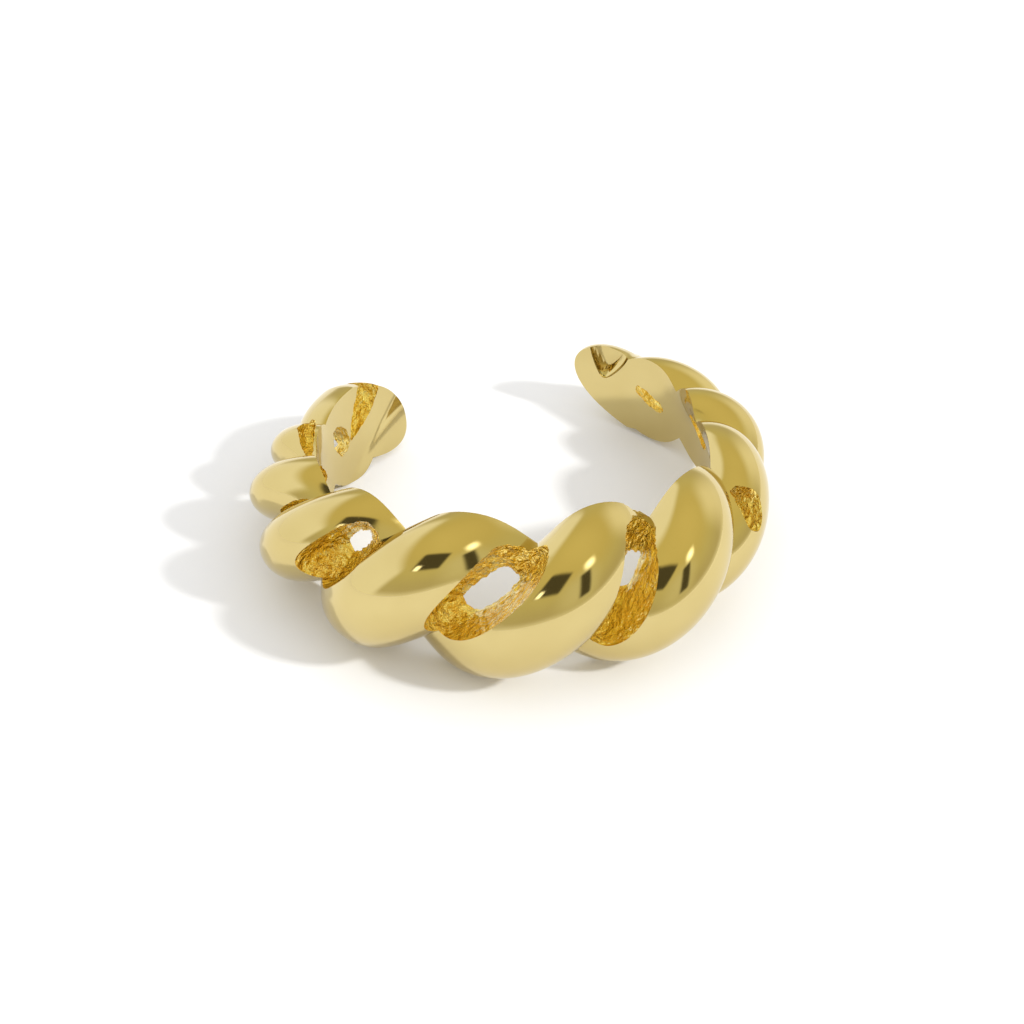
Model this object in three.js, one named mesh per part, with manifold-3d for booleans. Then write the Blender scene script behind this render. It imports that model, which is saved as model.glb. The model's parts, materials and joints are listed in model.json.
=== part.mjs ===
// An open rope ring, cast in one piece: two fat strands twisted round each other along an open
// circle, with a plain round bore for the finger and a leaf-shaped slot cut through the valley
// between every two crowns of the twist.
//
// Millimetres, +Z up. The band is first built round the bore axis, with the broad front of the ring
// towards -Y, and angles run from there towards +X. It is then laid down on its lowest crowns, with
// Z = 0 as the surface and the middle of its box over the origin.
import * as THREE from "three";
import { LoftGeometry } from "three/addons/geometries/LoftGeometry.js";
import { mergeVertices } from "three/addons/utils/BufferGeometryUtils.js";
import Module from "manifold-3d";

const wasm = await Module();
wasm.setup();

// Driving dimensions
const BORE_RADIUS = 8.5;
const BORE_SIDES = 144;
const BORE_HEIGHT = 16;

// The twist: a row for each crown, counted from 0 at the left end. A crown is where a strand lies
// outermost, and from one crown to the next the pair makes half a turn. The last row lies past the
// right end. at: degrees round the band, reach: half of its width, thick: from bore to crown.
const CROWNS = [
  { at: -152, reach: 2.0, thick: 2.8 },
  { at: -130, reach: 2.0, thick: 2.8 },
  { at: -108, reach: 2.2, thick: 3.0 },
  { at: -90, reach: 2.4, thick: 3.4 },
  { at: -67, reach: 2.8, thick: 3.6 },
  { at: -35, reach: 3.6, thick: 3.5 },
  { at: 3, reach: 3.7, thick: 3.5 },
  { at: 37, reach: 3.5, thick: 3.5 },
  { at: 72, reach: 2.6, thick: 2.4 },
  { at: 101, reach: 2.1, thick: 2.3 },
  { at: 123, reach: 2.0, thick: 2.3 },
  { at: 148, reach: 2.1, thick: 2.2 },
  { at: 173, reach: 2.2, thick: 2.2 },
];

// Where the band stops, in crowns from the first row, and how long its rounded tips are.
const LEFT = { end: 0.85, tip: 0.6 };
const RIGHT = { end: 11.3, tip: 0.5 };
const SMALLEST_TIP = 0.03;

// The rounded ends that close over both strands, each an egg bent round the bore. root, start and
// end: degrees round the band of its hidden end, its widest section and its point, reach: half of
// the width, thick: from bore to crown, both at the start, low: height of the start's middle,
// rise: how much higher the point lies, blunt: how squarely it ends.
const TIPS = [
  { root: -100, start: -121, end: -141, reach: 1.9, thick: 2.2, low: 0.6, rise: -1, blunt: 2.6 },
  { root: 128, start: 145, end: 162, reach: 1.8, thick: 1.8, low: -0.1, rise: 1, blunt: 2 },
];
const TIP_STEPS = 8;

// A strand's cross-section, in units of the band's thickness and half width: a fat oval that leans
// outwards from the middle of the pair.
const STRAND = { centre: 0.35, across: 0.66, along: 0.72 };
const STRAND_SIDES = 22;
const STEPS_PER_CROWN = 8;

// The slots: a row for each valley between two crowns, from the left end.
// at and up: the middle of the mouth, in degrees round the band and mm above its mid-plane,
// lean: degrees from the band's length, long and wide: half sizes of the mouth at the crowns' level,
// swing and drop: how much further round and lower the throat lies, throatLong and throatWide: the
// throat's shares of the mouth's half sizes.
const SLOTS = [
  {
    at: -119, up: -0.3, lean: 50, long: 1, wide: 0.45,
    swing: 8, drop: -0.9, throatLong: 0.95, throatWide: 1.3,
  },
  {
    at: -97, up: 0.2, lean: 50, long: 1.1, wide: 0.4,
    swing: -2, drop: 0.4, throatLong: 0.5, throatWide: 0.6,
  },
  {
    at: -74, up: 0.8, lean: 45, long: 1, wide: 0.4,
    swing: -4, drop: 0.6, throatLong: 0.5, throatWide: 0.6,
  },
  {
    at: -48, up: 1.25, lean: 42, long: 2.1, wide: 1,
    swing: -6.8, drop: 0.7, throatLong: 0.46, throatWide: 0.29,
  },
  {
    at: -9.5, up: 1.35, lean: 42, long: 3.2, wide: 1.1,
    swing: -1, drop: 1.35, throatLong: 0.4, throatWide: 0.52,
  },
  {
    at: 24, up: 1.35, lean: 62, long: 3.6, wide: 0.88,
    swing: 5.5, drop: 1.35, throatLong: 0.2, throatWide: 0.52,
  },
  {
    at: 65, up: 0.7, lean: 58, long: 0.9, wide: 0.5,
    swing: 2, drop: 0.4, throatLong: 0.6, throatWide: 0.6,
  },
  {
    at: 86, up: 0.4, lean: 50, long: 1.6, wide: 0.5,
    swing: 2, drop: 0.3, throatLong: 0.5, throatWide: 0.6,
  },
  {
    at: 111, up: 0.05, lean: 45, long: 1.25, wide: 0.45,
    swing: 0, drop: 0, throatLong: 0.7, throatWide: 0.7,
  },
  {
    at: 136, up: 0.1, lean: 25, long: 1.4, wide: 0.4,
    swing: 0, drop: 0.1, throatLong: 0.6, throatWide: 0.7,
  },
];
const SLOT_SIDES = 20;
const SLOT_BLUNTNESS = 0.72;
const SLOT_NARROWING = 4;
const SLOT_DEPTH = 2.8;
const SLOT_OVERRUN = 0.4;
const SLOT_LEVELS = [-SLOT_OVERRUN, 0, 0.5, 0.75, 0.9, 1, 1 + SLOT_OVERRUN];

// Shallow grooves that don't go through. face: the one that it opens on, at: degrees round the band,
// place: mm above the mid-plane on the bore, or from the bore axis on top, lean: degrees from the
// band's length, long and wide: half sizes, deep: depth.
const GROOVES = [
  { face: "bore", at: -124.5, place: 1.25, lean: 128, long: 1.6, wide: 0.7, deep: 1 },
  { face: "top", at: -98, place: 9.4, lean: 170, long: 1.6, wide: 0.4, deep: 1.5 },
  { face: "bore", at: 34.5, place: 3.4, lean: 0, long: 0.95, wide: 0.85, deep: 1.2 },
  { face: "bore", at: 150.5, place: 1.8, lean: 103, long: 1.4, wide: 0.95, deep: 0.3 },
];
const GROOVE_TOP = 2.6;
const GROOVE_TAPER = 0.45;
const GROOVE_EGG = 0.45;
const GROOVE_LEVELS = [-SLOT_OVERRUN, 0, 0.5, 1];

// How the ring lies: turned from its bore axis onto the three crowns it rests on, in degrees.
const LYING = { aboutX: -6.9, aboutY: -1.7 };

// A natural cubic curve through values that are one step apart, starting at 0.
function smoothThrough(values) {
  const last = values.length - 1;
  const ratio = [0];
  const load = [0];
  for (let i = 1; i < last; i++) {
    const pivot = 4 - ratio[i - 1];
    ratio[i] = 1 / pivot;
    load[i] = (6 * (values[i + 1] - 2 * values[i] + values[i - 1]) - load[i - 1]) / pivot;
  }
  const bend = new Array(last + 1).fill(0);
  for (let i = last - 1; i > 0; i--) {
    bend[i] = load[i] - ratio[i] * bend[i + 1];
  }
  return (t) => {
    const i = Math.min(Math.max(Math.floor(t), 0), last - 1);
    const b = t - i;
    const a = 1 - b;
    const straight = a * values[i] + b * values[i + 1];
    return straight + ((a ** 3 - a) * bend[i] + (b ** 3 - b) * bend[i + 1]) / 6;
  };
}

const angleAt = smoothThrough(CROWNS.map((row) => THREE.MathUtils.degToRad(row.at)));
const reachAt = smoothThrough(CROWNS.map((row) => row.reach));
const thickAt = smoothThrough(CROWNS.map((row) => row.thick));

// The point at a distance from the bore axis, an angle round it and a height along it.
function onBand(radius, angle, height) {
  return new THREE.Vector3(radius * Math.sin(angle), -radius * Math.cos(angle), height);
}

function signedPower(value, power) {
  return Math.sign(value) * Math.abs(value) ** power;
}

// A solid from a closed geometry.
function solid(geometry) {
  const bare = new THREE.BufferGeometry();
  bare.setAttribute("position", geometry.getAttribute("position"));
  bare.setIndex(geometry.getIndex());
  const merged = mergeVertices(bare, 1e-5);
  const mesh = new wasm.Mesh({
    numProp: 3,
    vertProperties: merged.attributes.position.array,
    triVerts: new Uint32Array(merged.index.array),
  });
  return new wasm.Manifold(mesh);
}

// How much of its full size the band has at t, rounding off at both tips.
function tipScale(t) {
  const fromEnd = Math.min((t - LEFT.end) / LEFT.tip, (RIGHT.end - t) / RIGHT.tip);
  const toGo = Math.max(1 - fromEnd, 0);
  return Math.max(Math.sqrt(1 - toGo ** 2), SMALLEST_TIP);
}

// The cross-section of a strand at t: both strands turn round the middle of the band's thickness.
function strandSection(t, turn) {
  const phase = Math.PI * t + turn;
  const halfWidth = reachAt(t) * tipScale(t);
  const thick = thickAt(t);
  const depth = thick * tipScale(t);
  const points = [];
  for (let k = 0; k < STRAND_SIDES; k++) {
    const around = (-2 * Math.PI * k) / STRAND_SIDES - phase;
    const out = STRAND.centre + STRAND.across * Math.cos(around);
    const side = STRAND.along * Math.sin(around);
    const r = out * Math.cos(phase) - side * Math.sin(phase);
    const z = out * Math.sin(phase) + side * Math.cos(phase);
    points.push(onBand(BORE_RADIUS + r * depth, angleAt(t), z * halfWidth));
  }
  return points;
}

function strand(turn) {
  const steps = Math.round((RIGHT.end - LEFT.end) * STEPS_PER_CROWN);
  const sections = [];
  for (let i = 0; i <= steps; i++) {
    const t = THREE.MathUtils.lerp(LEFT.end, RIGHT.end, i / steps);
    sections.push(strandSection(t, turn));
  }
  return solid(new LoftGeometry(sections, { capStart: true, capEnd: true }));
}

// A tip of the band: an egg bent round the bore.
function tip(row) {
  const sections = [];
  for (let i = -TIP_STEPS; i <= TIP_STEPS; i++) {
    const along = Math.sin((Math.PI / 2) * (i / TIP_STEPS));
    const share = Math.max(1 - Math.abs(along) ** row.blunt, 0) ** (1 / row.blunt);
    const scale = Math.max(share, SMALLEST_TIP);
    const span = along > 0 ? row.end - row.start : row.start - row.root;
    const angle = THREE.MathUtils.degToRad(row.start + span * along);
    const middle = row.low + row.rise * Math.max(along, 0);
    const points = [];
    for (let k = 0; k < STRAND_SIDES; k++) {
      const around = (-2 * Math.PI * k) / STRAND_SIDES;
      const radius = BORE_RADIUS + row.thick * scale * Math.cos(around);
      points.push(onBand(radius, angle, middle + row.reach * scale * Math.sin(around)));
    }
    sections.push(points);
  }
  if (row.end < row.start) {
    sections.reverse();
  }
  return solid(new LoftGeometry(sections, { capStart: true, capEnd: true }));
}

// The outline of a slot at a depth from 0 at the crowns to 1 at the bore: a blunt leaf.
function slotOutline(slot, depth) {
  const inside = THREE.MathUtils.clamp(depth, 0, 1) ** SLOT_NARROWING;
  const long = slot.long * THREE.MathUtils.lerp(1, slot.throatLong, inside);
  const wide = slot.wide * THREE.MathUtils.lerp(1, slot.throatWide, inside);
  const radius = BORE_RADIUS + (1 - depth) * SLOT_DEPTH;
  const lean = THREE.MathUtils.degToRad(slot.lean);
  const middle = THREE.MathUtils.degToRad(slot.at + slot.swing * inside);
  const points = [];
  for (let k = 0; k < SLOT_SIDES; k++) {
    const around = (2 * Math.PI * k) / SLOT_SIDES;
    const along = long * signedPower(Math.cos(around), SLOT_BLUNTNESS);
    const across = wide * signedPower(Math.sin(around), SLOT_BLUNTNESS);
    const sweep = along * Math.cos(lean) - across * Math.sin(lean);
    const height = along * Math.sin(lean) + across * Math.cos(lean);
    points.push(onBand(radius, middle + sweep / radius, slot.up - slot.drop * inside + height));
  }
  return points;
}

// The cutter for a slot, which narrows from its mouth at the crowns to its throat in the bore wall
// and runs a little way past both.
function slotCutter(slot) {
  const sections = SLOT_LEVELS.map((depth) => slotOutline(slot, depth));
  return solid(new LoftGeometry(sections.reverse(), { capStart: true, capEnd: true }));
}

// The outline of a groove at a depth from 0 at its face to 1 at its bottom: an egg.
function grooveOutline(groove, depth) {
  const shrink = 1 - GROOVE_TAPER * Math.max(depth, 0) ** 2;
  const lean = THREE.MathUtils.degToRad(groove.lean);
  const middle = THREE.MathUtils.degToRad(groove.at);
  const points = [];
  for (let k = 0; k < SLOT_SIDES; k++) {
    const around = (2 * Math.PI * k) / SLOT_SIDES;
    const along = groove.long * shrink * Math.cos(around);
    const across = groove.wide * shrink * Math.sin(around) * (1 + GROOVE_EGG * Math.cos(around));
    const sweep = along * Math.cos(lean) - across * Math.sin(lean);
    const over = along * Math.sin(lean) + across * Math.cos(lean);
    if (groove.face === "bore") {
      const radius = BORE_RADIUS + depth * groove.deep;
      points.push(onBand(radius, middle + sweep / radius, groove.place + over));
    } else {
      const height = GROOVE_TOP - depth * groove.deep;
      points.push(onBand(groove.place + over, middle + sweep / groove.place, height));
    }
  }
  return points;
}

// The cutter for a groove.
function grooveCutter(groove) {
  const sections = GROOVE_LEVELS.map((depth) => grooveOutline(groove, depth));
  return solid(new LoftGeometry(sections, { capStart: true, capEnd: true }));
}

// The round bore for the finger.
function bore() {
  const cylinder = new THREE.CylinderGeometry(BORE_RADIUS, BORE_RADIUS, BORE_HEIGHT, BORE_SIDES);
  return solid(cylinder.rotateX(Math.PI / 2));
}

// Lays the finished ring on the surface, with the middle of its box over the origin.
function layDown(geometry) {
  geometry.rotateX(THREE.MathUtils.degToRad(LYING.aboutX));
  geometry.rotateY(THREE.MathUtils.degToRad(LYING.aboutY));
  geometry.computeBoundingBox();
  const middle = geometry.boundingBox.getCenter(new THREE.Vector3());
  geometry.translate(-middle.x, -middle.y, -geometry.boundingBox.min.z);
}

let band = strand(0).add(strand(Math.PI));
for (const row of TIPS) {
  band = band.add(tip(row));
}
band = band.subtract(bore());
for (const slot of SLOTS) {
  band = band.subtract(slotCutter(slot));
}
for (const groove of GROOVES) {
  band = band.subtract(grooveCutter(groove));
}
const mesh = band.getMesh();
const geometry = new THREE.BufferGeometry();
geometry.setAttribute("position", new THREE.BufferAttribute(mesh.vertProperties, 3));
geometry.setIndex(new THREE.BufferAttribute(mesh.triVerts, 1));
layDown(geometry);

const gold = new THREE.MeshStandardMaterial({ color: 0xd9b65a, roughness: 0.12, metalness: 1 });
const ring = new THREE.Group();
const node = new THREE.Mesh(geometry, gold);
node.name = "rope_band";
ring.add(node);

export default ring;
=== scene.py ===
"""An open rope ring of polished gold, lying on a pale studio floor.

The ring is one casting: two fat strands twisted round each other along an open circle, with a
plain round bore and a leaf-shaped slot through the valley between every two crowns of the twist.
It is made in mm round the bore axis, with its broad front towards -Y, and is then laid down on the
surface, where the frame says that its bore is.
"""

import json
import logging
import math
from dataclasses import dataclass
from enum import Enum
from typing import Callable, Iterable, Sequence

import bmesh
import bpy
import numpy as np
from mathutils import Matrix, Vector, noise


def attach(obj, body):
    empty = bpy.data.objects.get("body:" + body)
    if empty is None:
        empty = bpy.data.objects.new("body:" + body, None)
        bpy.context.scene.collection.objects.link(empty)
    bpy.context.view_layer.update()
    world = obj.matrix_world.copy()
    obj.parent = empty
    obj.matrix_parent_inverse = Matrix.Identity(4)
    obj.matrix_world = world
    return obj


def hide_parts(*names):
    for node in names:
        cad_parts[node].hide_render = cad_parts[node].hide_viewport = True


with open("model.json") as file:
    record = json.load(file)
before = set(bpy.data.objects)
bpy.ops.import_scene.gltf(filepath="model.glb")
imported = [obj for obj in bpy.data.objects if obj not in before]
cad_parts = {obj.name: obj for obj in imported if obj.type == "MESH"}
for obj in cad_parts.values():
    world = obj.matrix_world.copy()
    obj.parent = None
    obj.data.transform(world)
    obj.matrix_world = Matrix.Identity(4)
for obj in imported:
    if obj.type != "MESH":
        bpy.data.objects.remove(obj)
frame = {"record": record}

log = logging.getLogger("rope_ring")

MM = 0.001
CAD_NODE = "rope_band"

Colour = tuple[float, float, float, float]


class Finish(Enum):
    """The places of the ring's two finishes in its material slots."""

    POLISHED = 0
    CAST = 1
# As cast: rough walls, in a gold whose extra brightness is painted light for the bounces inside the
# slots.


# ----------------------------------------------------------------------------------------------
# Shapes
# ----------------------------------------------------------------------------------------------


@dataclass(frozen=True)
class Crown:
    """A crown of the twist, where a strand lies outermost.

    at: degrees round the band, reach: half of the band's width in mm, thick: mm from bore to crown.
    """

    at: float
    reach: float
    thick: float


@dataclass(frozen=True)
class Tip:
    """A rounded end that closes over both strands.

    root, start and end: degrees round the band where it leaves the strands, is widest and ends,
    reach: half of its width and thick: its height over the bore, both in mm at the start, low:
    height of the start's middle, rise: how much higher the point lies, blunt: its roundness, 2
    for an ellipsoid.
    """

    root: float
    start: float
    end: float
    reach: float
    thick: float
    low: float
    rise: float
    blunt: float


@dataclass(frozen=True)
class Slot:
    """A blunt leaf-shaped slot through the valley between two crowns.

    at and up: the middle of its mouth, in degrees round the band and mm above its mid-plane,
    lean: degrees from the band's length, long and wide: half sizes of the mouth in mm, swing and
    drop: how much further round and lower the throat lies, throat_long and throat_wide: the
    throat's shares of the mouth's half sizes.
    """

    at: float
    up: float
    lean: float
    long: float
    wide: float
    swing: float
    drop: float
    throat_long: float
    throat_wide: float


class Face(Enum):
    """The faces of the band that a groove opens on."""

    BORE = "bore"
    TOP = "top"


@dataclass(frozen=True)
class Groove:
    """A groove that doesn't go through, such as where a valley runs over an end of the band.

    face: what it opens on, at: degrees round the band, place: mm above the mid-plane on the bore,
    or mm from the bore axis on the top, lean: degrees from the band's length, long and wide: half
    sizes in mm, wider at the far end, deep: mm, finish: how its walls are left.
    """

    face: Face
    at: float
    place: float
    lean: float
    long: float
    wide: float
    deep: float
    finish: Finish


@dataclass(frozen=True)
class Lean:
    """A stretch of the bore that stands off the true circle.

    at and reach: its middle and half length in degrees round the band, low and high: the heights
    in mm between which it comes in, out: how far it stands outwards in mm.
    """

    at: float
    reach: float
    low: float
    high: float
    out: float


CROWNS = (
    Crown(at=-152, reach=2.0, thick=2.8),
    Crown(at=-130, reach=2.0, thick=2.8),
    Crown(at=-108, reach=2.2, thick=3.0),
    Crown(at=-90, reach=2.4, thick=3.4),
    Crown(at=-67, reach=2.8, thick=3.6),
    Crown(at=-35, reach=3.6, thick=3.5),
    Crown(at=3, reach=3.7, thick=3.5),
    Crown(at=37, reach=3.5, thick=3.5),
    Crown(at=72, reach=2.6, thick=2.4),
    Crown(at=101, reach=2.1, thick=2.3),
    Crown(at=123, reach=2.0, thick=2.3),
    Crown(at=148, reach=2.1, thick=2.2),
    Crown(at=173, reach=2.2, thick=2.2),
)

# root, start, end, reach, thick, low, rise, blunt
TIPS = (
    Tip(-100, -121, -141, 1.9, 2.2, 0.6, -1.0, 2.6),
    Tip(128, 145, 162, 1.8, 1.8, -0.1, 1.0, 2.0),
)

# at, up, lean, long, wide, swing, drop, throat_long, throat_wide
SLOTS = (
    Slot(-119, -0.3, 50, 1, 0.45, 8, -0.9, 0.95, 1.3),
    Slot(-97, 0.2, 50, 1.1, 0.4, -2, 0.4, 0.5, 0.6),
    Slot(-74, 0.8, 45, 1, 0.4, -4, 0.6, 0.5, 0.6),
    Slot(-48, 1.25, 42, 2.1, 1, -6.8, 0.7, 0.46, 0.29),
    Slot(-9.5, 1.35, 42, 3.2, 1.1, -1, 1.35, 0.4, 0.52),
    Slot(24, 1.35, 62, 3.6, 0.88, 5.5, 1.35, 0.2, 0.52),
    Slot(65, 0.7, 58, 0.9, 0.5, 2, 0.4, 0.6, 0.6),
    Slot(86, 0.4, 50, 1.6, 0.5, 2, 0.3, 0.5, 0.6),
    Slot(111, 0.05, 45, 1.25, 0.45, 0, 0, 0.7, 0.7),
    Slot(136, 0.1, 25, 1.4, 0.4, 0, 0.1, 0.6, 0.7),
)

# face, at, place, lean, long, wide, deep, finish
GROOVES = (
    Groove(Face.BORE, -124.5, 1.25, 128, 1.6, 0.7, 1.0, Finish.CAST),
    Groove(Face.TOP, -98, 9.4, 170, 1.6, 0.4, 1.5, Finish.CAST),
    Groove(Face.BORE, 34.5, 3.4, 0, 0.95, 0.85, 1.2, Finish.CAST),
    Groove(Face.BORE, 150.5, 1.8, 103, 1.4, 0.95, 0.3, Finish.POLISHED),
)

# at, reach, low, high, out
LEANS = (
    Lean(97, 35, -0.3, 1.6, -0.65),
    Lean(-88, 42, -4, -3, 0.45),
)


def smooth_through(values: Sequence[float]) -> Callable[[float], float]:
    """Makes a natural cubic curve through values that are one step apart, starting at 0.

    Args:
        values: what the curve passes through.

    Returns:
        The curve, as a function of the step.
    """
    last = len(values) - 1
    heights = np.array(values, float)
    system = np.diag([1.0] + [4.0] * (last - 1) + [1.0])
    for i in range(1, last):
        system[i, i - 1] = system[i, i + 1] = 1.0
    load = np.zeros(last + 1)
    load[1:last] = 6 * (heights[2:] - 2 * heights[1:-1] + heights[:-2])
    bend = np.linalg.solve(system, load)

    def curve(t: float) -> float:
        """Gives the curve's value at step t."""
        i = min(max(int(t), 0), last - 1)
        b = t - i
        a = 1 - b
        straight = a * heights[i] + b * heights[i + 1]
        return float(straight + ((a**3 - a) * bend[i] + (b**3 - b) * bend[i + 1]) / 6)

    return curve


def ease(value: float, start: float, end: float) -> float:
    """Rises smoothly from 0 to 1 while a value goes from start to end."""
    share = min(max((value - start) / (end - start), 0), 1)
    return share * share * (3 - 2 * share)


def signed_power(value: float, power: float) -> float:
    """Raises a value's size to a power and keeps its sign."""
    return math.copysign(abs(value) ** power, value)


def on_band(radius: float, angle: float, height: float) -> Vector:
    """Gives the point at a distance from the bore axis, an angle round it and a height along it."""
    return Vector((radius * math.sin(angle), -radius * math.cos(angle), height))


def loft(rings: Iterable[Sequence[Vector]]) -> bmesh.types.BMesh:
    """Runs a skin through rings of points and closes both ends.

    Args:
        rings: the rings, with equal numbers of points that lie one past the other.

    Returns:
        The closed skin, with its faces outwards.
    """
    bm = bmesh.new()
    rim = []
    for ring in rings:
        if not rim:
            rim = bmesh.ops.create_circle(bm, cap_ends=True, radius=1, segments=len(ring))["verts"]
        else:
            made = bmesh.ops.extrude_edge_only(bm, edges=edges_among(rim))["geom"]
            fresh = {v for v in made if isinstance(v, bmesh.types.BMVert)}
            rim = [
                next(edge.other_vert(v) for edge in v.link_edges if edge.other_vert(v) in fresh)
                for v in rim
            ]
        for vert, point in zip(rim, ring):
            vert.co = point
    bmesh.ops.edgeloop_fill(bm, edges=edges_among(rim))
    bmesh.ops.recalc_face_normals(bm, faces=bm.faces)
    return bm


def edges_among(verts: Sequence[bmesh.types.BMVert]) -> list[bmesh.types.BMEdge]:
    """Finds the edges that join two of the vertices."""
    inside = set(verts)
    joining = (e for v in verts for e in v.link_edges if all(end in inside for end in e.verts))
    return list(dict.fromkeys(joining))


def as_object(bm: bmesh.types.BMesh, name: str) -> bpy.types.Object:
    """Puts a finished bmesh into an object of the scene and frees it.

    Args:
        bm: the mesh.
        name: the new object's name.

    Returns:
        The object, at the origin.
    """
    mesh = bpy.data.meshes.new(name)
    bm.to_mesh(mesh)
    bm.free()
    made = bpy.data.objects.new(name, mesh)
    bpy.context.scene.collection.objects.link(made)
    return made


class Cut(Enum):
    """What a boolean does with its second solid."""

    JOIN = "UNION"
    TAKE_AWAY = "DIFFERENCE"


def combine(base: bpy.types.Object, other: bpy.types.Object, cut: Cut) -> None:
    """Joins a solid to the base or takes it away, and removes it.

    Args:
        base: the solid that is kept.
        other: the solid that is used up.
        cut: whether it is joined or taken away.
    """
    modifier = base.modifiers.new(cut.name.lower(), "BOOLEAN")
    modifier.operation = cut.value
    modifier.solver = "MANIFOLD"
    modifier.object = other
    shaped = base.evaluated_get(bpy.context.evaluated_depsgraph_get())
    mesh = bpy.data.meshes.new_from_object(shaped)
    base.modifiers.clear()
    base.data = mesh
    bpy.data.objects.remove(other)


@dataclass
class RopeBand:
    """The ring's one casting, in mm round its bore axis until it is laid down.

    left_end and right_end: where the strands end, in crowns from the table's first row, slot_side:
    how long the sides of a cutter's outline are, smooth_to and rough_from: the depths in a slot
    between which its wall turns from smooth to as cast, roughness_seed: what the pattern of the
    cast walls is drawn from, the same each run, lobe: how far the bore swells inwards by the left
    end, past a slanting line through lobe_at degrees and lobe_up mm, lying_about_x and
    lying_about_y: the turns that lay the ring on the surface, in degrees.
    """

    bore_radius: float = 8.5
    bore_sides: int = 300
    bore_height: float = 9.0
    bore_levels: int = 70
    left_end: float = 0.85
    left_tip: float = 0.6
    right_end: float = 11.3
    right_tip: float = 0.5
    smallest_tip: float = 0.03
    strand_centre: float = 0.35
    strand_across: float = 0.66
    strand_along: float = 0.72
    strand_sides: int = 72
    steps_per_crown: int = 30
    tip_steps: int = 30
    slot_side: float = 0.085
    slot_levels: int = 44
    slot_depth: float = 2.8
    slot_overrun: float = 0.4
    slot_bluntness: float = 0.72
    slot_narrowing: float = 4.0
    smooth_to: float = 0.2
    rough_from: float = 0.55
    roughness_height: float = 0.09
    roughness_grain: float = 3.2
    roughness_octaves: int = 3
    roughness_seed: int = 2
    groove_taper: float = 0.45
    groove_egg: float = 0.45
    groove_overrun: float = 0.4
    groove_levels: int = 18
    groove_top: float = 2.6
    lobe: float = 0.35
    lobe_at: float = -131.4
    lobe_up: float = -0.15
    lobe_steep: float = 0.097
    lobe_slope: float = 0.755
    lobe_width: float = 1.8
    crease_degrees: float = 30.0
    lying_about_x: float = -6.9
    lying_about_y: float = -1.7

    def __post_init__(self) -> None:
        """Runs smooth curves through the table of crowns."""
        self.angle_at = smooth_through([math.radians(row.at) for row in CROWNS])
        self.reach_at = smooth_through([row.reach for row in CROWNS])
        self.thick_at = smooth_through([row.thick for row in CROWNS])

    def tip_scale(self, t: float) -> float:
        """Gives the share of its full size that a strand has at t, rounding off at both ends."""
        from_end = min((t - self.left_end) / self.left_tip, (self.right_end - t) / self.right_tip)
        to_go = max(1 - from_end, 0)
        return max(math.sqrt(max(1 - to_go**2, 0)), self.smallest_tip)

    def strand_section(self, t: float, turn: float) -> list[Vector]:
        """Works out a strand's cross-section.

        Args:
            t: how far along the band, counted in crowns.
            turn: how far the strand is turned from the first one, in radians.

        Returns:
            The points round the section.
        """
        phase = math.pi * t + turn
        half_width = self.reach_at(t) * self.tip_scale(t)
        depth = self.thick_at(t) * self.tip_scale(t)
        angle = self.angle_at(t)
        points = []
        for k in range(self.strand_sides):
            around = 2 * math.pi * k / self.strand_sides - phase
            out = self.strand_centre + self.strand_across * math.cos(around)
            side = self.strand_along * math.sin(around)
            r = out * math.cos(phase) - side * math.sin(phase)
            z = out * math.sin(phase) + side * math.cos(phase)
            points.append(on_band(self.bore_radius + r * depth, angle, z * half_width))
        return points

    def strand(self, turn: float) -> bpy.types.Object:
        """Builds one strand of the twist."""
        steps = round((self.right_end - self.left_end) * self.steps_per_crown)
        places = np.linspace(self.left_end, self.right_end, steps + 1)
        return as_object(loft(self.strand_section(t, turn) for t in places), "strand")

    def tip(self, row: Tip) -> bpy.types.Object:
        """Builds a rounded end: an egg bent round the bore."""
        rings = []
        for i in range(-self.tip_steps, self.tip_steps + 1):
            along = math.sin(math.pi / 2 * i / self.tip_steps)
            share = max(1 - abs(along) ** row.blunt, 0) ** (1 / row.blunt)
            scale = max(share, self.smallest_tip)
            span = row.end - row.start if along > 0 else row.start - row.root
            middle = row.low + row.rise * max(along, 0)
            ring = []
            for k in range(self.strand_sides):
                around = 2 * math.pi * k / self.strand_sides
                radius = self.bore_radius + row.thick * scale * math.cos(around)
                height = middle + row.reach * scale * math.sin(around)
                ring.append(on_band(radius, math.radians(row.start + span * along), height))
            rings.append(ring)
        return as_object(loft(rings), "tip")

    def slot_ring(self, row: Slot, depth: float) -> list[Vector]:
        """Works out a slot's outline.

        Args:
            row: the slot.
            depth: 0 at the crowns and 1 at the bore.

        Returns:
            The points of a blunt leaf across the band.
        """
        inside = min(max(depth, 0), 1) ** self.slot_narrowing
        long = row.long * (1 + (row.throat_long - 1) * inside)
        wide = row.wide * (1 + (row.throat_wide - 1) * inside)
        radius = self.bore_radius + (1 - depth) * self.slot_depth
        lean = math.radians(row.lean)
        middle = math.radians(row.at + row.swing * inside)
        sides = round(math.pi * (row.long + row.wide) / self.slot_side)
        points = []
        for k in range(sides):
            around = 2 * math.pi * k / sides
            along = long * signed_power(math.cos(around), self.slot_bluntness)
            across = wide * signed_power(math.sin(around), self.slot_bluntness)
            sweep = along * math.cos(lean) - across * math.sin(lean)
            height = row.up - row.drop * inside + along * math.sin(lean) + across * math.cos(lean)
            here = on_band(radius, middle + sweep / radius, height)
            points.append(here + self.wall_offset(here, depth))
        return points

    def wall_offset(self, here: Vector, depth: float) -> Vector:
        """Gives how far a slot's wall stands from its smooth shape, as the mould left it.

        Args:
            here: a point of the smooth wall.
            depth: 0 at the crowns and 1 at the bore.

        Returns:
            The offset in mm, nothing near the mouth.
        """
        share = min(max((depth - self.smooth_to) / (self.rough_from - self.smooth_to), 0), 1)
        lumps = noise.turbulence_vector(here * self.roughness_grain, self.roughness_octaves, False)
        return lumps * share * self.roughness_height

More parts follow.
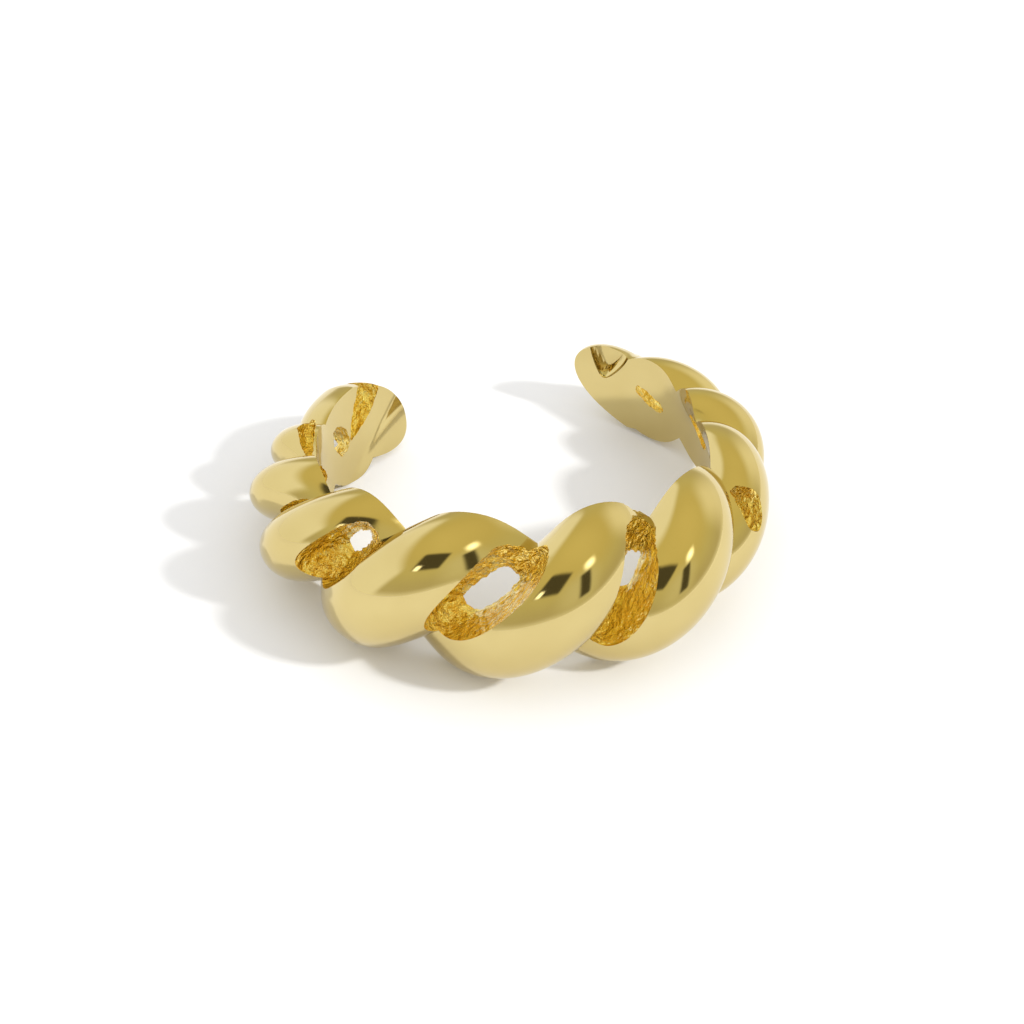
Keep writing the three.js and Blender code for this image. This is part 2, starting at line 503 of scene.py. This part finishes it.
    def slot(self, row: Slot) -> bpy.types.Object:
        """Builds the cutter for a slot, whose walls are left as cast."""
        depths = np.linspace(-self.slot_overrun, 1 + self.slot_overrun, self.slot_levels)
        bm = loft(self.slot_ring(row, depth) for depth in depths)
        for face in bm.faces:
            face.material_index = Finish.CAST.value
        return as_object(bm, "slot")

    def groove_ring(self, row: Groove, depth: float) -> list[Vector]:
        """Works out a groove's outline.

        Args:
            row: the groove.
            depth: 0 at the face that it opens on and 1 at its bottom.

        Returns:
            The points of an egg, which shrinks towards the bottom.
        """
        shrink = 1 - self.groove_taper * max(depth, 0) ** 2
        # A cast groove is rough all over, and a polished one is smooth.
        rough = 1 if row.finish is Finish.CAST else 0
        lean = math.radians(row.lean)
        sides = round(math.pi * (row.long + row.wide) / self.slot_side)
        points = []
        for k in range(sides):
            around = 2 * math.pi * k / sides
            along = row.long * shrink * math.cos(around)
            across = row.wide * shrink * math.sin(around) * (1 + self.groove_egg * math.cos(around))
            sweep = along * math.cos(lean) - across * math.sin(lean)
            over = along * math.sin(lean) + across * math.cos(lean)
            if row.face is Face.BORE:
                radius = self.bore_radius + depth * row.deep
                here = on_band(radius, math.radians(row.at) + sweep / radius, row.place + over)
            else:
                height = self.groove_top - depth * row.deep
                here = on_band(row.place + over, math.radians(row.at) + sweep / row.place, height)
            points.append(here + self.wall_offset(here, rough))
        return points

    def groove(self, row: Groove) -> bpy.types.Object:
        """Builds the cutter for a groove."""
        depths = np.linspace(-self.groove_overrun, 1, self.groove_levels)
        bm = loft(self.groove_ring(row, depth) for depth in depths)
        for face in bm.faces:
            face.material_index = row.finish.value
        return as_object(bm, "groove")

    def bore_radius_at(self, angle: float, height: float) -> float:
        """Gives the bore's radius, with the stretches where it stands off the true circle.

        Args:
            angle: round the band, in radians.
            height: over its mid-plane, in mm.

        Returns:
            The radius in mm.
        """
        degrees = math.degrees(math.remainder(angle, 2 * math.pi))
        radius = self.bore_radius
        for row in LEANS:
            off = min(abs(degrees - row.at) / row.reach, 1)
            radius += row.out * math.cos(math.pi / 2 * off) ** 2 * ease(height, row.low, row.high)
        if degrees < 0:
            round_band = (self.lobe_at - degrees) * self.lobe_steep
            past = round_band - (height - self.lobe_up) * self.lobe_slope
            share = min(max(past / self.lobe_width, 0), 1)
            radius -= self.lobe * share * (2 - share)
        return radius

    def bore(self) -> bpy.types.Object:
        """Builds the bore for the finger."""
        sweep = [2 * math.pi * k / self.bore_sides for k in range(self.bore_sides)]
        heights = np.linspace(-self.bore_height / 2, self.bore_height / 2, self.bore_levels)
        rings = ([on_band(self.bore_radius_at(a, z), a, z) for a in sweep] for z in heights)
        return as_object(loft(rings), "bore")

    def laid_down(self) -> Matrix:
        """Gives the turn and shift that lay the ring where the frame says that its bore is."""
        mount = frame["record"]["mounts"][0]
        turn_x = Matrix.Rotation(math.radians(self.lying_about_x), 4, "X")
        turn_y = Matrix.Rotation(math.radians(self.lying_about_y), 4, "Y")
        return Matrix.Translation(mount["pos_m"]) @ turn_y @ turn_x @ Matrix.Scale(MM, 4)

    def build(self, finishes: Sequence[bpy.types.Material]) -> bpy.types.Object:
        """Makes the whole casting.

        Args:
            finishes: the materials, in the order of Finish.

        Returns:
            The ring, laid down on the surface.
        """
        noise.seed_set(self.roughness_seed)
        band = self.strand(0)
        for material in finishes:
            band.data.materials.append(material)
        combine(band, self.strand(math.pi), Cut.JOIN)
        for row in TIPS:
            combine(band, self.tip(row), Cut.JOIN)
        combine(band, self.bore(), Cut.TAKE_AWAY)
        for row in SLOTS:
            combine(band, self.slot(row), Cut.TAKE_AWAY)
        for row in GROOVES:
            combine(band, self.groove(row), Cut.TAKE_AWAY)
        band.data.transform(self.laid_down())
        band.data.polygons.foreach_set("use_smooth", [True] * len(band.data.polygons))
        band.data.set_sharp_from_angle(angle=math.radians(self.crease_degrees))
        band.name = "rope_ring"
        return band


# ----------------------------------------------------------------------------------------------
# Finishes
# ----------------------------------------------------------------------------------------------


# The levels of the patch pattern under which a finish is all dull, and over which all bright.
DULL_BELOW = 0.35
BRIGHT_ABOVE = 0.65


def grain_group() -> bpy.types.NodeTree:
    """Builds the pattern that both finishes share: uneven patches and fine pits.

    Returns:
        A node group with the inputs Patch Scale, Pit Scale and Detail, and the outputs Patches
        and Pits, both from 0 to 1.
    """
    group = bpy.data.node_groups.new("metal_grain", "ShaderNodeTree")
    for name in ("Patch Scale", "Pit Scale", "Detail"):
        group.interface.new_socket(name, in_out="INPUT", socket_type="NodeSocketFloat")
    for name in ("Patches", "Pits"):
        group.interface.new_socket(name, in_out="OUTPUT", socket_type="NodeSocketFloat")
    given = group.nodes.new("NodeGroupInput")
    result = group.nodes.new("NodeGroupOutput")
    place = group.nodes.new("ShaderNodeTexCoord")
    for scale, name in (("Patch Scale", "Patches"), ("Pit Scale", "Pits")):
        pattern = group.nodes.new("ShaderNodeTexNoise")
        group.links.new(place.outputs["Object"], pattern.inputs["Vector"])
        group.links.new(given.outputs[scale], pattern.inputs["Scale"])
        group.links.new(given.outputs["Detail"], pattern.inputs["Detail"])
        group.links.new(pattern.outputs["Fac"], result.inputs[name])
    return group


@dataclass(frozen=True)
class Gold:
    """Gold plating with an uneven colour, an uneven gloss and fine pits.

    low and high: its colour in the dull and the bright patches, rough and smooth: its roughness
    there, patch_scale and pit_scale: how fine its patches and its pits are, per m, detail: the
    octaves of both, pit_depth and pit_strength: how deep the pits look.
    """

    name: str
    low: Colour
    high: Colour
    smooth: float
    rough: float
    patch_scale: float
    pit_scale: float
    detail: float
    pit_depth: float
    pit_strength: float

    def material(self, grain: bpy.types.NodeTree) -> bpy.types.Material:
        """Builds the material.

        Args:
            grain: the node group with the shared pattern.

        Returns:
            The material.
        """
        made = bpy.data.materials.new(self.name)
        made.use_nodes = True
        tree = made.node_tree
        shader = tree.nodes["Principled BSDF"]
        shader.inputs["Metallic"].default_value = 1
        pattern = tree.nodes.new("ShaderNodeGroup")
        pattern.node_tree = grain
        pattern.inputs["Patch Scale"].default_value = self.patch_scale
        pattern.inputs["Pit Scale"].default_value = self.pit_scale
        pattern.inputs["Detail"].default_value = self.detail
        colour = tree.nodes.new("ShaderNodeValToRGB")
        dull, bright = colour.color_ramp.elements
        dull.position = DULL_BELOW
        dull.color = self.low
        bright.position = BRIGHT_ABOVE
        bright.color = self.high
        tree.links.new(pattern.outputs["Patches"], colour.inputs["Fac"])
        tree.links.new(colour.outputs["Color"], shader.inputs["Base Color"])
        gloss = tree.nodes.new("ShaderNodeMapRange")
        gloss.inputs["From Min"].default_value = DULL_BELOW
        gloss.inputs["From Max"].default_value = BRIGHT_ABOVE
        gloss.inputs["To Min"].default_value = self.rough
        gloss.inputs["To Max"].default_value = self.smooth
        tree.links.new(pattern.outputs["Patches"], gloss.inputs["Value"])
        tree.links.new(gloss.outputs["Result"], shader.inputs["Roughness"])
        bump = tree.nodes.new("ShaderNodeBump")
        bump.inputs["Distance"].default_value = self.pit_depth
        bump.inputs["Strength"].default_value = self.pit_strength
        tree.links.new(pattern.outputs["Pits"], bump.inputs["Height"])
        tree.links.new(bump.outputs["Normal"], shader.inputs["Normal"])
        return made


POLISHED_GOLD = Gold(
    name="polished_gold",
    low=(0.62, 0.495, 0.21, 1),
    high=(0.65, 0.525, 0.23, 1),
    smooth=0.05,
    rough=0.09,
    patch_scale=400.0,
    pit_scale=900.0,
    detail=2.0,
    pit_depth=0.00001,
    pit_strength=0.1,
)
# Cast gold for the slot walls: the deeper orange is the cast surface's own tone, and its extra
# brightness over the polished gold is painted light, standing in for the light that bounces round
# inside the slots.
CAST_GOLD_PAINTED_LIGHT = Gold(
    name="cast_gold_painted_light",
    low=(0.95, 0.68, 0.16, 1),
    high=(1.0, 0.86, 0.34, 1),
    smooth=0.07,
    rough=0.26,
    patch_scale=1800.0,
    pit_scale=2800.0,
    detail=4.0,
    pit_depth=0.0003,
    pit_strength=1.0,
)


# ----------------------------------------------------------------------------------------------
# Studio
# ----------------------------------------------------------------------------------------------


@dataclass(frozen=True)
class Card:
    """A black card or a lamp's diffuser, as shiny things see it.

    azimuth: degrees from the front towards the right, elevation: degrees over the floor,
    half_width, half_height and softness: as shares of its distance, shade: its colour.
    """

    azimuth: float
    elevation: float
    half_width: float
    half_height: float
    softness: float
    shade: Colour


BLACK = (0.1, 0.09, 0.055, 1)
LAMP = (3.4, 3.4, 3.1, 1)
GLINT = (2.8, 2.8, 2.6, 1)
WHITE = (1.17, 1.17, 1.13, 1)
CREAM = (1.1, 1.06, 0.87, 1)
SAND = (0.85, 0.82, 0.57, 1)

# The walls' colours at heights from 0 at the floor to 1 overhead.
WALLS = (
    (0.0, (0.66, 0.61, 0.42, 1)),
    (0.25, (0.68, 0.63, 0.39, 1)),
    (0.5, (0.75, 0.7, 0.39, 1)),
    (0.8, (0.81, 0.72, 0.34, 1)),
    (1.0, (0.87, 0.77, 0.37, 1)),
)

# azimuth, elevation, half_width, half_height, softness, shade
CARDS = (
    Card(-112, 14, 1.05, 0.65, 0.2, WHITE),
    Card(135, 20, 0.35, 0.45, 0.3, CREAM),
    Card(24, 26, 0.4, 0.4, 0.3, SAND),
    Card(-28, 49, 0.28, 0.22, 0.05, BLACK),
    Card(-42, 39, 0.05, 0.06, 0.03, GLINT),
    Card(31, 30, 0.12, 0.3, 0.05, BLACK),
    Card(42, 55, 0.1, 0.08, 0.09, LAMP),
)


def calculate(
    tree: bpy.types.NodeTree, operation: str, *values: "bpy.types.NodeSocket | float"
) -> bpy.types.NodeSocket:
    """Adds a Math node.

    Args:
        tree: the nodes that it joins.
        operation: what it does.
        values: its inputs, each a number or another node's output.

    Returns:
        Its output.
    """
    node = tree.nodes.new("ShaderNodeMath")
    node.operation = operation
    for socket, value in zip(node.inputs, values):
        if isinstance(value, bpy.types.NodeSocket):
            tree.links.new(value, socket)
        else:
            socket.default_value = value
    return node.outputs[0]


@dataclass
class Studio:
    """The floor, the soft light and the camera.

    camera_azimuth, camera_elevation and camera_distance: where it stands from the middle of the
    bore, in degrees and m, camera_roll: degrees, camera_lens: mm, aim_right and aim_up: how far
    from that middle it looks, in m, horizon and sweep_softness: how high up, as the rise of a
    direction, the floor's white gives way to the walls, and over how much of a rise.
    """

    floor_half: float = 0.6
    paper_shade: Colour = (0.9, 0.9, 0.9, 1)
    paper_roughness: float = 0.9
    camera_azimuth: float = -1.4
    camera_elevation: float = 39.35
    camera_distance: float = 0.1309
    camera_roll: float = -0.95
    camera_lens: float = 105.5
    camera_nearest: float = 0.01
    aim_right: float = -0.00049
    aim_up: float = -0.00144
    room_light: float = 1.0
    horizon: float = 0.03
    sweep_softness: float = 0.12
    key_azimuth: float = 64.0
    key_elevation: float = 37.0
    key_distance: float = 2.0
    key_size: float = 0.16
    key_power: float = 25.0

    def floor(self) -> None:
        """Lays the pale floor."""
        bm = bmesh.new()
        bmesh.ops.create_grid(bm, x_segments=1, y_segments=1, size=self.floor_half)
        floor = as_object(bm, "floor")
        paper = bpy.data.materials.new("white_paper")
        paper.use_nodes = True
        shader = paper.node_tree.nodes["Principled BSDF"]
        shader.inputs["Base Color"].default_value = self.paper_shade
        shader.inputs["Roughness"].default_value = self.paper_roughness
        floor.data.materials.append(paper)

    def camera(self, bore_centre: Vector) -> None:
        """Places the camera, which looks past the middle of the ring's bore."""
        back = self.direction(self.camera_azimuth, self.camera_elevation)
        level = Vector((0, 0, 1)).cross(back).normalized()
        roll = Matrix.Rotation(math.radians(self.camera_roll), 3, back)
        right = roll @ level
        up = back.cross(right)
        place = bore_centre + back * self.camera_distance
        aim = bore_centre + right * self.aim_right + up * self.aim_up
        look = (place - aim).normalized()
        side = up.cross(look).normalized()
        turn = Matrix((side, look.cross(side), look)).transposed()
        data = bpy.data.cameras.new("camera")
        data.lens = self.camera_lens
        data.clip_start = self.camera_nearest
        camera = bpy.data.objects.new("camera", data)
        camera.matrix_world = Matrix.Translation(place) @ turn.to_4x4()
        bpy.context.scene.collection.objects.link(camera)
        bpy.context.scene.camera = camera

    def key_light(self, target: Vector) -> None:
        """Hangs the square soft key light, which faces a target."""
        place = target + self.direction(self.key_azimuth, self.key_elevation) * self.key_distance
        data = bpy.data.lights.new("key", "AREA")
        data.size = self.key_size
        data.energy = self.key_power
        lamp = bpy.data.objects.new("key", data)
        lamp.visible_glossy = False
        lamp.location = place
        lamp.rotation_euler = (target - place).to_track_quat("-Z", "Y").to_euler()
        bpy.context.scene.collection.objects.link(lamp)

    def direction(self, azimuth: float, elevation: float) -> Vector:
        """Gives the direction of a place in the studio, in degrees from the front and the floor."""
        a, e = math.radians(azimuth), math.radians(elevation)
        return Vector((math.cos(e) * math.sin(a), -math.cos(e) * math.cos(a), math.sin(e)))

    def surroundings(self) -> None:
        """Fills the room with even light, which shiny things see as a sweep, walls and cards."""
        world = bpy.data.worlds.new("room")
        world.use_nodes = True
        tree = world.node_tree
        seen = tree.nodes["Background"]
        light = tree.nodes.new("ShaderNodeBackground")
        light.inputs["Color"].default_value = (1, 1, 1, 1)
        light.inputs["Strength"].default_value = self.room_light
        direction = tree.nodes.new("ShaderNodeTexCoord").outputs["Generated"]
        colour = self.walls(tree, direction)
        for card in CARDS:
            colour = self.hang(tree, card, direction, colour)
        tree.links.new(colour, seen.inputs["Color"])
        path = tree.nodes.new("ShaderNodeLightPath")
        mix = tree.nodes.new("ShaderNodeMixShader")
        tree.links.new(path.outputs["Is Glossy Ray"], mix.inputs["Fac"])
        tree.links.new(light.outputs[0], mix.inputs[1])
        tree.links.new(seen.outputs[0], mix.inputs[2])
        tree.links.new(mix.outputs[0], tree.nodes["World Output"].inputs["Surface"])
        bpy.context.scene.world = world

    def walls(
        self, tree: bpy.types.NodeTree, direction: bpy.types.NodeSocket
    ) -> bpy.types.NodeSocket:
        """Colours the walls, which the white floor sweeps up to.

        Args:
            tree: the room's nodes.
            direction: the direction that is seen.

        Returns:
            The colour seen.
        """
        apart = tree.nodes.new("ShaderNodeSeparateXYZ")
        tree.links.new(direction, apart.inputs[0])
        up = apart.outputs["Z"]
        share = tree.nodes.new("ShaderNodeMapRange")
        share.interpolation_type = "SMOOTHSTEP"
        share.inputs["From Min"].default_value = self.horizon - self.sweep_softness
        share.inputs["From Max"].default_value = self.horizon + self.sweep_softness
        tree.links.new(up, share.inputs["Value"])
        ramp = tree.nodes.new("ShaderNodeValToRGB")
        stops = ramp.color_ramp.elements
        while len(stops) < len(WALLS):
            stops.new(0.5)
        for stop, (place, colour) in zip(stops, WALLS):
            stop.position = place
            stop.color = colour
        tree.links.new(up, ramp.inputs["Fac"])
        mix = tree.nodes.new("ShaderNodeMix")
        mix.data_type = "RGBA"
        colours = [socket for socket in mix.inputs if socket.type == "RGBA"]
        colours[0].default_value = WHITE
        tree.links.new(share.outputs["Result"], mix.inputs[0])
        tree.links.new(ramp.outputs["Color"], colours[1])
        return next(socket for socket in mix.outputs if socket.type == "RGBA")

    def hang(
        self,
        tree: bpy.types.NodeTree,
        card: Card,
        direction: bpy.types.NodeSocket,
        colour: bpy.types.NodeSocket,
    ) -> bpy.types.NodeSocket:
        """Hangs a soft-edged card far off in front of what is seen so far.

        Args:
            tree: the room's nodes.
            card: the card.
            direction: the direction that is seen.
            colour: the colour seen without the card.

        Returns:
            The colour seen with the card.
        """
        middle = self.direction(card.azimuth, card.elevation)
        right = Vector((0, 0, 1)).cross(-middle).normalized()
        over = middle.cross(-right)
        ahead = self.along(tree, direction, middle)
        across = calculate(tree, "DIVIDE", self.along(tree, direction, right), ahead)
        height = calculate(tree, "DIVIDE", self.along(tree, direction, over), ahead)
        mask = calculate(tree, "GREATER_THAN", ahead, 0.0)
        for place, half in ((across, card.half_width), (height, card.half_height)):
            edge = tree.nodes.new("ShaderNodeMapRange")
            edge.interpolation_type = "SMOOTHSTEP"
            edge.inputs["From Min"].default_value = half + card.softness
            edge.inputs["From Max"].default_value = half - card.softness
            tree.links.new(calculate(tree, "ABSOLUTE", place), edge.inputs["Value"])
            mask = calculate(tree, "MULTIPLY", mask, edge.outputs["Result"])
        mix = tree.nodes.new("ShaderNodeMix")
        mix.data_type = "RGBA"
        colours = [socket for socket in mix.inputs if socket.type == "RGBA"]
        tree.links.new(mask, mix.inputs[0])
        tree.links.new(colour, colours[0])
        colours[1].default_value = card.shade
        return next(socket for socket in mix.outputs if socket.type == "RGBA")

    def along(
        self, tree: bpy.types.NodeTree, direction: bpy.types.NodeSocket, axis: Vector
    ) -> bpy.types.NodeSocket:
        """Measures how far a direction runs along an axis."""
        dot = tree.nodes.new("ShaderNodeVectorMath")
        dot.operation = "DOT_PRODUCT"
        dot.inputs[1].default_value = axis
        tree.links.new(direction, dot.inputs[0])
        return dot.outputs["Value"]


def main() -> None:
    """Builds the ring and the studio round it."""
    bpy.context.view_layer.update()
    grain = grain_group()
    # The second finish, for the slot walls, is partly painted light: brighter than the polished
    # gold.
    finishes = [POLISHED_GOLD.material(grain), CAST_GOLD_PAINTED_LIGHT.material(grain)]
    ring = RopeBand().build(finishes)
    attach(ring, "root")
    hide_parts(CAD_NODE)
    log.info("%s: %d faces", ring.name, len(ring.data.polygons))
    studio = Studio()
    centre = Vector(frame["record"]["mounts"][0]["pos_m"])
    studio.floor()
    studio.camera(centre)
    studio.key_light(centre)
    studio.surroundings()
    bpy.context.scene.view_settings.view_transform = "Standard"


if __name__ == "__main__":
    logging.basicConfig(level=logging.INFO, format="%(name)s %(message)s")
    main()
